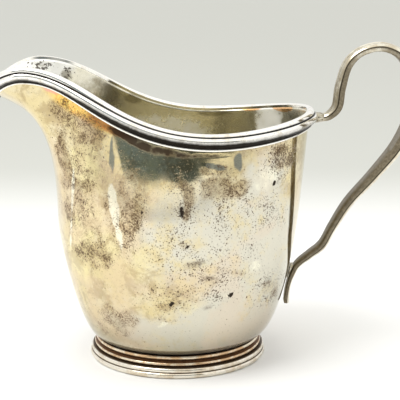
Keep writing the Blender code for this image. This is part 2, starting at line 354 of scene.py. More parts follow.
# Patches on the near side, in millimetres: middle x and z, half length, half height, tilt in degrees,
# strength. Each group of patches becomes one attribute of the body's surface.
PATCHES = {
    "gold": (
        (-37.5, 82.4, 8.5, 3.0, -26, 1.0),
        (-29.0, 77.8, 6.5, 2.6, -24, 0.9),
    ),
    "copper": (
        (-26.5, 76.8, 7.0, 2.2, -24, 1.0),
        (-33.0, 77.5, 5.0, 1.4, -24, 0.5),
    ),
    "rose": ((-44.5, 85.6, 2.4, 0.8, -24, 0.8),),
    # Stains, and painted shade in the strips just under the moulding: the first three.
    "stain_and_shade": (
        (-19.5, 72.4, 8.0, 1.2, -25, 1.0),
        (-9.5, 69.5, 6.0, 1.0, -11, 1.0),
        (1.0, 68.6, 6.0, 0.6, 0, 0.8),
        (-2.1, 37.6, 2.8, 1.2, 5, 0.6),
        (1.4, 33.0, 1.8, 1.6, 35, 0.5),
        (-7.2, 28.2, 0.9, 1.6, -30, 0.5),
        (1.2, 24.0, 1.8, 0.8, 20, 0.5),
        (19.9, 27.5, 1.6, 3.4, 18, 0.4),
    ),
    "brown": (
        (-41.0, 80.0, 5.0, 3.5, -30, 0.8),
        (-34.5, 74.5, 8.0, 4.5, -30, 0.9),
        (-40.5, 65.0, 2.6, 9.0, 5, 0.75),
        (-33.0, 57.5, 6.0, 2.6, -10, 0.7),
        (-38.8, 51.0, 2.6, 5.0, 0, 0.8),
        (-31.5, 39.0, 6.0, 3.2, 0, 0.9),
        (-20.8, 51.5, 3.4, 6.5, 8, 0.9),
        (6.5, 59.5, 7.5, 3.8, 12, 0.8),
        (-6.3, 57.0, 1.8, 6.5, 4, 0.9),
        (3.3, 65.3, 4.0, 1.6, 0, 0.7),
        (22.5, 67.0, 3.6, 4.2, 20, 0.8),
        (1.4, 33.0, 2.6, 2.8, -25, 0.7),
        (-2.1, 37.6, 3.6, 1.7, 5, 0.8),
        (19.9, 25.2, 2.0, 6.0, 18, 0.7),
        (-27.0, 17.0, 6.0, 6.0, 0, 0.55),
        (-27.5, 53.0, 12.0, 20.0, 0, 0.52),
    ),
    "specks": (
        (-35.0, 70.0, 8.0, 12.0, 20, 0.8),
        (-38.0, 50.0, 3.4, 5.0, 0, 0.8),
        (-31.5, 39.0, 6.0, 3.6, 0, 1.0),
        (-19.0, 50.0, 5.0, 9.0, 0, 0.8),
        (-6.3, 55.0, 3.6, 8.0, 5, 1.0),
        (6.0, 57.0, 8.0, 8.0, 25, 0.9),
        (22.3, 66.0, 5.5, 6.0, 20, 1.0),
        (19.0, 50.5, 4.5, 3.4, 0, 0.8),
        (-10.0, 43.0, 8.0, 7.0, 0, 0.85),
        (-3.0, 36.0, 7.0, 5.0, 0, 0.9),
        (4.0, 30.0, 6.0, 6.0, 30, 0.8),
        (8.0, 36.0, 9.0, 9.0, 0, 0.6),
        (19.0, 27.0, 5.0, 7.0, 18, 0.75),
        (-10.0, 27.0, 8.0, 5.0, 0, 0.6),
        (10.0, 52.0, 10.0, 7.0, 0, 0.6),
    ),
    "blots": (
        (7.8, 26.8, 0.9, 0.6, 15, 1.0),
        (-9.0, 25.2, 0.7, 0.6, 0, 1.0),
        (13.2, 27.7, 0.4, 0.7, -20, 0.9),
        (20.6, 59.4, 0.5, 0.8, -20, 0.9),
        (-4.3, 42.8, 0.5, 1.6, 0, 0.85),
        (-6.3, 53.0, 0.4, 1.6, 0, 0.8),
        (-18.0, 53.2, 0.4, 1.2, 10, 0.8),
    ),
    "yellow": (
        (-34.3, 63.0, 4.5, 5.5, 0, 0.8),
        (-34.5, 48.5, 4.6, 5.5, 0, 0.9),
        (-36.5, 37.0, 3.0, 8.0, 0, 0.9),
        (-28.0, 43.5, 3.0, 3.0, 0, 0.7),
        (-4.1, 25.2, 3.4, 2.6, 0, 0.7),
        (-20.0, 38.0, 9.0, 6.0, 0, 0.5),
    ),
    # Painted highlights, partly rubbed silver: pale patches where lights shine in the near side.
    "highlight_and_rubbed": (
        (-25.8, 54.0, 1.2, 6.0, 8, 1.0),
        (-24.2, 45.5, 0.8, 4.0, 12, 0.8),
        (-38.6, 56.0, 0.5, 7.0, -4, 0.7),
        (-39.6, 43.0, 0.5, 5.0, -4, 0.7),
        (17.8, 62.0, 5.0, 6.0, 0, 0.42),
        (14.3, 34.5, 3.0, 3.0, 20, 0.42),
        (7.0, 27.0, 2.0, 1.2, 0, 0.5),
        (-12.0, 18.5, 2.4, 1.0, 20, 0.5),
    ),
    # Painted reflection: blue-grey patches for the dim opening mirrored in the near side.
    "painted_reflection": (
        (9.8, 66.6, 1.1, 2.6, 4, 0.9),
        (3.0, 65.6, 3.6, 0.9, -12, 0.75),
        (-26.3, 68.3, 0.7, 5.0, 0, 0.8),
    ),
    "cool": (
        (12.0, 20.0, 18.0, 12.0, 0, 1.0),
        (2.0, 16.0, 26.0, 6.0, 0, 0.9),
        (18.0, 42.0, 10.0, 18.0, 10, 0.9),
        (0.0, 44.0, 16.0, 16.0, 0, 0.7),
        (17.8, 61.0, 6.0, 8.0, 0, 0.9),
    ),
}
# Patches of the inner face, the same on both sides.
INNER_PATCHES = {
    "inner pale": (
        (-52.0, 89.0, 9.0, 5.0, 0, 1.0),
        (22.0, 72.0, 4.0, 7.0, 0, 0.9),
        (-14.0, 66.0, 16.0, 6.0, 0, 0.6),
    ),
    "inner dark": (
        (-52.0, 89.5, 2.4, 0.8, 0, 0.55),
        (-44.5, 86.3, 1.6, 1.6, 0, 0.8),
        (-23.5, 77.8, 3.0, 1.8, -10, 0.8),
        (-34.0, 80.0, 7.0, 5.0, -20, 0.6),
        (4.0, 72.5, 6.0, 1.2, 0, 0.7),
    ),
    "inner specks": (
        (-52.5, 89.3, 4.6, 1.8, 0, 1.0),
        (-44.0, 86.7, 2.6, 2.2, -30, 1.0),
    ),
    "inner orange": (
        (26.0, 76.0, 3.0, 1.6, 0, 0.9),
        (16.0, 74.5, 4.0, 1.0, 0, 0.6),
    ),
}
RIM_GROUPS = ("gold", "copper", "rose", "stain_and_shade")  # these follow the rim, alike on both sides
# The painted reflection and the painted highlights, which are partly rubbed silver, are on the near side
# only.
NEAR_GROUPS = ("painted_reflection", "highlight_and_rubbed")  # these are on the near side only
# All others are mirrored on the far side and moved: an x there and its twin's add up to
# MIRROR_SUM, and they lie lower by BACK_DROP.
MIRROR_SUM = -16.0
BACK_DROP = 6.0
SEAM_WIDTH = 20.0 * MM  # patches of both sides fade into each other over this
FADE_END = 1.6  # a patch fades out over one half length and ends at this many half lengths
WARPED_GROUPS = ("brown", "yellow", "specks", "cool")
WARP = ((9.0, 3.2), (3.2, 1.3))  # size of the waves and how far they shift a patch's border, in mm
WARP_SEED = 4


def patch_mask(points, patches, mirrored):
    """Strength of a group of patches at each point, soft towards each patch's border."""
    total = np.zeros(len(points))
    x = points[:, 0] / MM
    z = points[:, 2] / MM
    if mirrored:
        x = MIRROR_SUM - x
        z = z + BACK_DROP
    for middle_x, middle_z, half_length, half_height, tilt, strength in patches:
        turn = math.radians(tilt)
        along = (x - middle_x) * math.cos(turn) + (z - middle_z) * math.sin(turn)
        across = (z - middle_z) * math.cos(turn) - (x - middle_x) * math.sin(turn)
        distance = np.sqrt((along / half_length) ** 2 + (across / half_height) ** 2)
        edge = np.clip(FADE_END - distance, 0.0, 1.0)
        total = np.maximum(total, strength * edge * edge * (3.0 - 2.0 * edge))
    return total


def warped(points):
    """The points shifted in irregular waves, so that a patch read at them is no plain oval."""
    noise.seed_set(WARP_SEED)
    shifted = points.copy()
    for size, reach in WARP:
        for i, point in enumerate(points):
            shifted[i] += reach * MM * np.array(noise.noise_vector(Vector(point) / (size * MM)))
    return shifted


def store(mesh, name, values):
    """Keeps one value for each vertex as an attribute that the materials read."""
    layer = mesh.attributes.new(name, "FLOAT", "POINT")
    layer.data.foreach_set("value", values.astype(np.float32))


def add_patches(mesh):
    """Stores the strength of every group of patches on the body's surface."""
    points = np.zeros(len(mesh.vertices) * 3)
    mesh.vertices.foreach_get("co", points)
    points = points.reshape(-1, 3)
    nearness = np.clip(0.5 - points[:, 1] / SEAM_WIDTH, 0.0, 1.0)
    moved = warped(points)
    for name, patches in PATCHES.items():
        places = moved if name in WARPED_GROUPS else points
        near = patch_mask(places, patches, mirrored=False)
        if name in RIM_GROUPS:
            far = near
        elif name in NEAR_GROUPS:
            far = np.zeros(len(points))
        else:
            far = patch_mask(places, patches, mirrored=True)
        store(mesh, name, near * nearness + far * (1.0 - nearness))
    for name, patches in INNER_PATCHES.items():
        store(mesh, name, patch_mask(points, patches, mirrored=False))


# ---------------------------------------------------------------- materials

# Body, outer face: worn silver and what covers it.
WARM_SILVER = (0.68, 0.575, 0.325)
PALE_SILVER = (0.70, 0.62, 0.415)
COOL_SILVER = (0.635, 0.615, 0.53)
# painted highlight, partly rubbed silver
HIGHLIGHT_AND_RUBBED_SILVER = (0.92, 0.90, 0.72)
OLIVE_CLOUD = (0.45, 0.35, 0.19)
BUFF_CLOUD = (0.50, 0.42, 0.27)
BUFF_GRAIN = (0.40, 0.33, 0.22)
# painted shade low on the body, where it mirrors the shadowed floor
LOW_PAINTED_SHADE = (0.36, 0.33, 0.25)
YELLOW_FILM = (0.84, 0.75, 0.41)
BROWN_FILM = (0.38, 0.27, 0.13)
PINK_BLUSH = (0.71, 0.55, 0.41)
GOLD_FILM = (0.84, 0.60, 0.16)
AMBER_FILM = (0.70, 0.38, 0.07)
COPPER_FILM = (0.36, 0.14, 0.045)
ROSE_FILM = (0.70, 0.30, 0.32)
# painted reflection: the dim opening's blue-grey, laid on as colour
PAINTED_REFLECTION_GREY = (0.16, 0.18, 0.165)
BROWN_LINE = (0.105, 0.062, 0.03)
BROWN_SPECK = (0.10, 0.065, 0.04)
# real stains, and painted shade under the moulding
DARK_STAIN_AND_SHADE = (0.035, 0.02, 0.012)
DARK_BLOT = (0.03, 0.022, 0.016)
# painted shade in the angle where the body meets the foot
JOINT_SHADE = (0.03, 0.025, 0.02)

# Body, inner face.
INNER_SILVER = (0.74, 0.70, 0.56)
INNER_PALE = (0.82, 0.79, 0.67)
INNER_CLOUD = (0.54, 0.49, 0.36)
INNER_RUBBED = (0.97, 0.96, 0.91)
INNER_ORANGE = (0.80, 0.42, 0.14)
INNER_FILM = (0.28, 0.24, 0.16)
INNER_SPECK = (0.06, 0.045, 0.03)

SOLDER_LIGHT = (0.54, 0.50, 0.40)
SOLDER_DARK = (0.22, 0.18, 0.12)

JOINT_SHADE_HEIGHTS = (0.0074, 0.0094)  # where the painted shade in the angle over the foot fades out
LOW_SHADE_HEIGHTS = (0.007, 0.021)  # where the painted shade low on the body fades out
DIRT_SHINE = 0.08  # dirt and tarnish shine much less than the metal round them
LIGHT_FILM = 1.6  # the paler parts of a tarnish film over its darkest
DARK_LINE = 0.25  # a thin line's colour over the film's


class Graph:
    """Builds nodes in one tree, for patterns read at place. A method that adds one gives its output."""

    def __init__(self, tree, place):
        self.tree = tree
        self.place = place

    def put(self, socket, value):
        """Links a socket, or sets a constant."""
        if isinstance(value, bpy.types.NodeSocket):
            self.tree.links.new(value, socket)
        elif isinstance(value, tuple) and socket.type == "RGBA":
            socket.default_value = (*value, 1.0)
        else:
            socket.default_value = value

    def math(self, operation, first, second=0.0):
        node = self.tree.nodes.new("ShaderNodeMath")
        node.operation = operation
        self.put(node.inputs[0], first)
        self.put(node.inputs[1], second)
        return node.outputs[0]

    def plus(self, first, second):
        return self.math("ADD", first, second)

    def minus(self, first, second):
        return self.math("SUBTRACT", first, second)

    def times(self, first, second):
        return self.math("MULTIPLY", first, second)

    def largest(self, first, *others):
        """The largest of two or more values."""
        for other in others:
            first = self.math("MAXIMUM", first, other)
        return first

    def axes(self, vector):
        """The outputs X, Y and Z of a vector."""
        node = self.tree.nodes.new("ShaderNodeSeparateXYZ")
        self.put(node.inputs[0], vector)
        return node.outputs

    def stretched(self, scale):
        """The place with each axis scaled, for a pattern with a grain."""
        node = self.tree.nodes.new("ShaderNodeMapping")
        self.put(node.inputs["Scale"], scale)
        self.put(node.inputs["Vector"], self.place)
        return node.outputs[0]

    def noise(self, scale, detail=3.0, roughness=0.55, distortion=0.0, place=None):
        """Noise round 0.5, with scale waves in a metre."""
        node = self.tree.nodes.new("ShaderNodeTexNoise")
        self.put(node.inputs["Scale"], scale)
        self.put(node.inputs["Detail"], detail)
        self.put(node.inputs["Roughness"], roughness)
        self.put(node.inputs["Distortion"], distortion)
        self.put(node.inputs["Vector"], place or self.place)
        return node.outputs[0]

    def step(self, value, low, high, to_low=0.0, to_high=1.0):
        """A smooth step from to_low, where the value is low, to to_high."""
        node = self.tree.nodes.new("ShaderNodeMapRange")
        node.interpolation_type = "SMOOTHSTEP"
        self.put(node.inputs["Value"], value)
        self.put(node.inputs["From Min"], low)
        self.put(node.inputs["From Max"], high)
        self.put(node.inputs["To Min"], to_low)
        self.put(node.inputs["To Max"], to_high)
        return node.outputs[0]

    def mix(self, share, first, second):
        """A colour between two; share is how much there is of the second."""
        node = self.tree.nodes.new("ShaderNodeMix")
        node.data_type = "RGBA"
        self.put(node.inputs[0], share)
        self.put(node.inputs[6], first)
        self.put(node.inputs[7], second)
        return node.outputs[2]


class Surface(Graph):
    """The nodes of one material, read at places on its object."""

    def __init__(self, name):
        self.material = bpy.data.materials.new(name)
        self.material.use_nodes = True
        tree = self.material.node_tree
        self.shader = tree.nodes["Principled BSDF"]
        super().__init__(tree, tree.nodes.new("ShaderNodeTexCoord").outputs["Object"])

    def attribute(self, name):
        node = self.tree.nodes.new("ShaderNodeAttribute")
        node.attribute_name = name
        return node.outputs["Fac"]

    def patch(self, name, ragged, low=0.4, high=0.6):
        """A group of patches with its borders broken up by a noise round 0."""
        uneven = self.times(self.attribute(name), self.plus(ragged, 1.0))
        return self.step(uneven, low, high)

    def coat(self, colour, mask, strength, over):
        """The colour with another one over it, at most this strong, where the mask is 1."""
        return self.mix(self.times(mask, strength), colour, over)

    def bump(self, height, distance, before=None):
        """The normal over a height field, on top of another one."""
        node = self.tree.nodes.new("ShaderNodeBump")
        self.put(node.inputs["Strength"], 1.0)
        self.put(node.inputs["Distance"], distance)
        self.put(node.inputs["Height"], height)
        if before is not None:
            self.put(node.inputs["Normal"], before)
        return node.outputs[0]

    def finish(self, colour, metallic, roughness, normal):
        self.put(self.shader.inputs["Base Color"], colour)
        self.put(self.shader.inputs["Metallic"], metallic)
        self.put(self.shader.inputs["Roughness"], roughness)
        self.put(self.shader.inputs["Normal"], normal)
        return self.material


def worn_silver(g, cloud, medium, fine, blotches, ragged, height):
    """The bare metal's colour: warm on the lip's side, cooler in its patches, with painted shade at the foot.
    """
    colour = g.mix(g.step(cloud, 0.42, 0.58), WARM_SILVER, PALE_SILVER)
    colour = g.mix(g.step(blotches, 0.48, 0.60, 0.0, 0.8), colour, OLIVE_CLOUD)
    colour = g.mix(g.step(medium, 0.50, 0.62, 0.0, 0.5), colour, BUFF_CLOUD)
    colour = g.mix(g.step(fine, 0.35, 0.5, 0.25, 0.0), colour, BUFF_GRAIN)
    colour = g.coat(colour, g.patch("cool", ragged, 0.1, 0.9), 0.9, COOL_SILVER)
    # painted shade: darker towards the foot
    return g.mix(g.step(height, *LOW_SHADE_HEIGHTS, 0.7, 0.0), colour, LOW_PAINTED_SHADE)


def rim_films(g, colour, fine, ragged):
    """The golden, coppery and rosy film along the rim near the lip."""
    calm = g.times(ragged, 0.4)
    gold = g.mix(g.step(fine, 0.35, 0.65), GOLD_FILM, AMBER_FILM)
    colour = g.coat(colour, g.patch("gold", calm, 0.1, 1.1), 0.9, gold)
    colour = g.coat(colour, g.patch("copper", calm, 0.2, 0.9), 0.8, COPPER_FILM)
    return g.coat(colour, g.patch("rose", calm, 0.2, 0.9), 0.7, ROSE_FILM)


def curling_lines(g, film, medium):
    """A mask of thin curling lines, widest where the brown film is thickest."""
    curls = g.math("ABSOLUTE", g.minus(g.noise(620.0, 4.0, 0.7, 1.2), 0.5))
    lines = g.step(g.minus(g.times(film, 0.046), curls), 0.0, 0.010)
    return g.times(lines, g.step(medium, 0.40, 0.58, 0.25, 0.92))


def crowded_specks(g, blotches):
    """A mask of small and larger specks, most of them inside their patches."""
    crowd = g.times(g.attribute("specks"), g.step(blotches, 0.42, 0.58, 0.08, 0.165))
    small = g.step(g.plus(g.noise(2300.0, 2.0, 0.5, 0.3), crowd), 0.69, 0.73)
    large = g.step(g.plus(g.noise(1150.0, 3.0, 0.6, 0.6), crowd), 0.73, 0.76)
    return g.largest(small, large)


def outside_relief(g, dirt_and_shade):
    """The outer face's normal: shallow dents, brush marks, hollows under dirt and painted shade, a grain."""
    dents = g.bump(g.noise(26.0, 2.0, 0.5), 0.00012)
    brushed = g.noise(60.0, 3.0, 0.6, place=g.stretched((1.0, 1.0, 22.0)))
    normal = g.bump(brushed, 0.000002, dents)
    normal = g.bump(g.times(dirt_and_shade, -1.0), 0.00003, normal)
    return g.bump(g.noise(1500.0, 3.0, 0.6), 0.000003, normal)


def body_outside():
    """Worn silver under warm and cool films, stains, specks, corroded blots and painted light and shade."""
    g = Surface("jug_outside")
    height = g.axes(g.place)["Z"]
    cloud = g.noise(70.0, 8.0, 0.7)
    blotches = g.noise(130.0, 7.0, 0.74, 0.4)
    medium = g.noise(220.0, 6.0, 0.7)
    fine = g.noise(900.0, 4.0, 0.65, 0.6)
    ragged = g.times(g.minus(g.plus(medium, cloud), 1.0), 2.6)
    colour = worn_silver(g, cloud, medium, fine, blotches, ragged, height)

    yellow = g.times(g.patch("yellow", ragged, 0.2, 0.9), g.step(blotches, 0.40, 0.56, 1.0, 0.3))
    colour = g.coat(colour, yellow, 0.85, YELLOW_FILM)
    film = g.patch("brown", ragged, 0.25, 1.0)
    colour = g.coat(colour, film, 0.6, BROWN_FILM)
    # painted highlights, partly rubbed silver, on the near side only
    highlight_and_rubbed = g.patch("highlight_and_rubbed", g.times(ragged, 0.5), 0.35, 0.6)
    colour = g.coat(colour, highlight_and_rubbed, 0.85, HIGHLIGHT_AND_RUBBED_SILVER)
    blush = g.step(g.noise(48.0, 3.0, 0.6, 0.5), 0.48, 0.62, 0.0, 0.3)
    colour = g.mix(blush, colour, PINK_BLUSH)
    colour = rim_films(g, colour, fine, ragged)
    # painted reflection of the dim opening, on the near side only
    painted_reflection = g.patch("painted_reflection", g.times(ragged, 0.3), 0.3, 0.65)
    colour = g.coat(colour, painted_reflection, 0.85, PAINTED_REFLECTION_GREY)

    lines = curling_lines(g, film, medium)
    colour = g.mix(lines, colour, BROWN_LINE)
    specks = crowded_specks(g, blotches)
    colour = g.coat(colour, specks, 0.85, BROWN_SPECK)
    # real stains, and painted shade along the underside of the moulding
    stain_and_shade = g.patch("stain_and_shade", ragged, 0.15, 1.0)
    colour = g.coat(colour, stain_and_shade, 0.95, DARK_STAIN_AND_SHADE)
    blots = g.patch("blots", g.times(g.minus(fine, 0.5), 2.0), 0.45, 0.6)
    colour = g.mix(blots, colour, DARK_BLOT)
    # painted shade in the angle over the foot
    joint = g.step(height, *JOINT_SHADE_HEIGHTS, 1.0, 0.0)
    colour = g.coat(colour, joint, 0.9, JOINT_SHADE)

    # real dirt and stains, with the painted shade over the foot and under the moulding
    dirt_and_shade = g.largest(specks, blots, g.times(lines, 0.5), stain_and_shade, joint)
    worn = g.plus(g.step(medium, 0.4, 0.6, 0.05, 0.10), g.times(film, 0.08))
    roughness = g.plus(worn, g.times(dirt_and_shade, 0.35))
    metallic = g.minus(1.0, g.times(dirt_and_shade, 0.6))
    g.put(g.shader.inputs["Specular IOR Level"], DIRT_SHINE)
    return g.finish(colour, metallic, roughness, outside_relief(g, dirt_and_shade))


def body_inside():
    """The inner face: a dull olive film, rubbed pale towards the lip, with dark specks."""
    g = Surface("jug_inside")
    cloud = g.noise(80.0, 6.0, 0.65)
    medium = g.noise(230.0, 6.0, 0.68)
    fine = g.noise(900.0, 4.0, 0.6, 0.5)
    ragged = g.times(g.minus(medium, 0.5), 2.2)
    colour = g.mix(g.step(cloud, 0.4, 0.6), INNER_SILVER, INNER_PALE)
    colour = g.mix(g.step(medium, 0.5, 0.65, 0.0, 0.5), colour, INNER_CLOUD)
    rubbed = g.patch("inner pale", ragged, 0.2, 0.9)
    colour = g.mix(rubbed, colour, INNER_RUBBED)
    colour = g.coat(colour, g.patch("inner orange", ragged), 0.8, INNER_ORANGE)
    colour = g.coat(colour, g.patch("inner dark", ragged, 0.25, 0.8), 0.7, INNER_FILM)
    crowd = g.times(g.attribute("inner specks"), 0.17)
    specks = g.step(g.plus(g.noise(1000.0, 4.0, 0.65), crowd), 0.69, 0.73)
    colour = g.coat(colour, specks, 0.9, INNER_SPECK)

    dull = g.plus(g.times(specks, 0.3), g.times(rubbed, 0.2))
    roughness = g.plus(g.step(medium, 0.3, 0.7, 0.14, 0.28), dull)
    metallic = g.minus(1.0, g.largest(g.times(specks, 0.6), g.times(rubbed, 0.45)))
    dents = g.bump(g.noise(35.0, 2.0, 0.5), 0.0002)
    normal = g.bump(fine, 0.000008, dents)
    return g.finish(colour, metallic, roughness, normal)


def reeded_metal(name, metal, film, film_range, groove_colour, polish, unevenness, dullness):
    """Rubbed silver with tarnish that has stayed in the grooves, and painted shade in them.

    The film lies where the noise is in film_range or above. Polish is the lowest roughness,
    unevenness breaks up the tarnish's borders, and dullness is how much metal shine it takes away.
    """
    g = Surface(name)
    medium = g.noise(260.0, 5.0, 0.65)
    fine = g.noise(1300.0, 4.0, 0.65)
    mark = g.attribute("groove")
    uneven = g.times(g.minus(g.plus(medium, fine), 1.0), unevenness)
    groove = g.step(g.plus(mark, uneven), 0.2, 0.8)
    lighter = tuple(LIGHT_FILM * part for part in groove_colour)
    line_colour = tuple(DARK_LINE * part for part in groove_colour)
    colour = g.mix(g.step(medium, *film_range), metal, film)
    colour = g.mix(groove, colour, g.mix(g.step(fine, 0.36, 0.66), groove_colour, lighter))
    colour = g.mix(g.step(mark, 1.1, 1.6), colour, line_colour)
    specks = g.step(g.noise(2000.0, 2.0, 0.5), 0.70, 0.74)
    colour = g.coat(colour, specks, 0.6, groove_colour)

    worn = g.step(medium, 0.3, 0.7, polish, polish + 0.08)
    roughness = g.plus(worn, g.times(groove, 0.3))
    metallic = g.minus(1.0, g.times(groove, dullness))
    normal = g.bump(g.noise(90.0, 2.0, 0.5), 0.00004)
    normal = g.bump(fine, 0.000004, normal)
    g.put(g.shader.inputs["Specular IOR Level"], DIRT_SHINE)
    return g.finish(colour, metallic, roughness, normal)


def moulding_metal():
    """The brightest rubbed silver, nearly black in its grooves with tarnish and painted shade."""
    return reeded_metal(
        "jug_moulding",
        metal=(0.93, 0.91, 0.86),
        film=(0.80, 0.74, 0.64),
        film_range=(0.5, 0.7),
        groove_colour=(0.010, 0.008, 0.006),
        polish=0.06,
        unevenness=0.25,
        dullness=0.85,
    )


def collar_metal():
    """Coppery brown between the rubbed beads."""
    return reeded_metal(
        "jug_collar",
        metal=(0.76, 0.67, 0.52),
        film=(0.56, 0.38, 0.22),
        film_range=(0.42, 0.58),
        groove_colour=(0.13, 0.065, 0.03),
        polish=0.08,
        unevenness=0.8,
        dullness=0.5,
    )


def border_metal():
    """Pale rubbed rolls with brown between them."""
    return reeded_metal(
        "jug_border",
        metal=(0.82, 0.77, 0.67),
        film=(0.66, 0.57, 0.44),
        film_range=(0.42, 0.62),
        groove_colour=(0.07, 0.045, 0.025),
        polish=0.07,
        unevenness=0.3,
        dullness=0.6,
    )


def handle_metal():
    """Worn silver with a dull olive film on the strap's sides and inner face."""
    return reeded_metal(
        "jug_handle_metal",
        metal=(0.78, 0.74, 0.62),
        film=(0.60, 0.53, 0.40),
        film_range=(0.4, 0.62),
        groove_colour=(0.155, 0.13, 0.09),
        polish=0.09,
        unevenness=0.45,
        dullness=0.15,
    )


def solder_metal():
    """Dull grey solder, lumpy and pitted."""
    g = Surface("jug_solder")
    lumps = g.noise(900.0, 4.0, 0.6)
    pits = g.noise(2600.0, 3.0, 0.6)
    colour = g.mix(g.step(lumps, 0.4, 0.65), SOLDER_LIGHT, SOLDER_DARK)
    roughness = g.step(pits, 0.3, 0.7, 0.22, 0.42)
    normal = g.bump(lumps, 0.0001)
    normal = g.bump(pits, 0.00002, normal)
    return g.finish(colour, 1.0, roughness, normal)


# ---------------------------------------------------------------- pieces


def make_body():
    """The vessel: one skin from the bottom's centre to the rim, thickened inwards to its wall."""
    loop = rim_loop()
    profiles = [list(reversed(BOTTOM_RINGS)) + [tuple(p) for p in meridian(edge)] for edge in loop]
    bm = bmesh.new()
    rings = []
    for row in range(len(profiles[0])):
        rings.append([bm.verts.new(on_plane(e, *p[row])) for e, p in zip(loop, profiles)])
    for ring, following in zip(rings, rings[1:]):
        bridge(bm, ring, following)
    centre = bm.verts.new((0.0, 0.0, BOTTOM_CENTRE))
    first = rings[0]
    for i in range(len(first)):
        bm.faces.new((centre, first[(i + 1) % len(first)], first[i]))
    body = finished_mesh("jug_body", bm, (body_outside(), body_inside()))
    add_patches(body.data)
    solidify = body.modifiers.new("wall", "SOLIDIFY")
    solidify.thickness = WALL
    solidify.offset = -1.0
    solidify.use_even_offset = True
    solidify.material_offset = 1
    solidify.material_offset_rim = 1
    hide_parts("body")


def make_moulding(material):
    """The reeded wire over the rim's edge."""
    section = list(MOULDING_INSIDE)
    marks = list(MOULDING_INSIDE_MARKS)
    for reed in MOULDING_REEDS:
        points, depths = marked_arc(*reed)
        section += points
        marks += depths
    sections = [[edge + out * a + up * b for a, b in section] for edge, out, up in rim_frames()]
    skin = swept(sections, [marks] * len(sections), looped=True)
    moulding = finished_mesh("jug_rim_moulding", skin, (material,))
    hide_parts("rim_moulding")


def turned_ring(name, node, outline, material):
    """A ring turned from a closed outline of ((radius, height), mark)."""
    marks = [mark for _, mark in outline]
    sections = []
    for i in range(FOOT_SIDES):
        turn = 2.0 * math.pi * i / FOOT_SIDES
        sections.append([Vector((r * math.cos(turn), r * math.sin(turn), z)) for (r, z), _ in outline])
    skin = swept(sections, [marks] * FOOT_SIDES, looped=True)
    ring = finished_mesh(name, skin, (material,))
    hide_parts(node)


def make_foot(collar_material, border_material):
    """The two turned rings: the collar with its cove above, the border with its rolls below."""
    collar = [(point, 0.0) for point in COLLAR_INSIDE] + [(COLLAR_FOOT, 1.0)]
    collar += zip(*marked_arc(*COLLAR_ARCS[0]))
    collar.append((COLLAR_COVE, 1.0))
    collar += zip(*marked_arc(*COLLAR_ARCS[1]))
    collar.append((COLLAR_TOP, 1.0))
    turned_ring("jug_foot_collar", "foot_collar", collar, collar_material)
    border = [(point, 0.0) for point in BORDER_INSIDE]
    for roll in BORDER_ARCS:
        border += zip(*marked_arc(*roll))
    border.append((BORDER_LEDGE, 1.0))
    turned_ring("jug_foot_border", "foot_border", border, border_material)


def spline_through(points, spans):
    """Rows of values on a smooth curve through the given rows, with spans steps between two."""
    rows = []
    last = len(points) - 1
    for i in range(last):
        before, start, end, after = (points[min(max(k, 0), last)] for k in (i - 1, i, i + 1, i + 2))
        for step in range(spans):
            t = step / spans
            row = []
            for a, b, c, d in zip(before, start, end, after):
                bend = (2 * a - 5 * b + 4 * c - d) * t * t + (3 * b - a - 3 * c + d) * t**3
                row.append(b + 0.5 * ((c - a) * t + bend))
            rows.append(row)
    return rows + [list(points[-1])]


def handle_section(thickness, width, side_film, reed_film):
    """A strap section (outwards, sideways) and how dark each point is, by tarnish and painted shade."""
    points = []
    marks = []
    count = REED_COUNT * REED_SPANS
    for i in range(count + 1):
        across = -1.0 + 2.0 * i / count
        crown = math.sqrt(1.0 - STRAP_ROUNDING * across**2)
        groove = 1.0 - abs(math.sin(math.pi * REED_COUNT * i / count))
        points.append((thickness * (crown - 0.5 - REED_DEPTH * groove), across * width / 2 * STRAP_TOP))
        marks.append(max(reed_film, (groove - GROOVE_FROM) * GROOVE_RISE))
    marks[0] = LINE_MARK
    marks[-1] = LINE_MARK
    inner = -thickness / 2
    corner = inner + STRAP_EDGE_RISE * thickness
    side = ((SIDE_BULGE_AT * thickness, width / 2), (corner, width / 2 * STRAP_TOP))
    points += side
    points.append((inner, width * STRAP_INNER_HALF))
    points.append((inner, -width * STRAP_INNER_HALF))
    points += [(a, -b) for a, b in reversed(side)]
    marks += [side_film] * (len(points) - len(marks))
    return points, marks


def make_handle(material):
    """The strap, its section carried along the handle's path."""
    rows = spline_through(HANDLE_PATH, HANDLE_SPANS)
    sections = []
    marks = []
    for i, (x, z, thickness, width) in enumerate(rows):
        before = rows[max(i - 1, 0)]
        after = rows[min(i + 1, len(rows) - 1)]
        along = Vector((after[0] - before[0], 0.0, after[1] - before[1])).normalized()
        out = Vector((-along.z, 0.0, along.x))
        centre = Vector((x, 0.0, z))
        side_film = float(np.interp(i / len(rows), FILM_SHARES, SIDE_FILM))
        reed_film = float(np.interp(i / len(rows), FILM_SHARES, REED_FILM))
        outline, section_marks = handle_section(thickness, width, side_film, reed_film)
        sections.append([centre + out * a + Vector((0.0, b, 0.0)) for a, b in outline])
        marks.append(section_marks)
    skin = swept(sections, marks, looped=False)
    handle = finished_mesh("jug_handle", skin, (material,))
    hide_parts("handle")


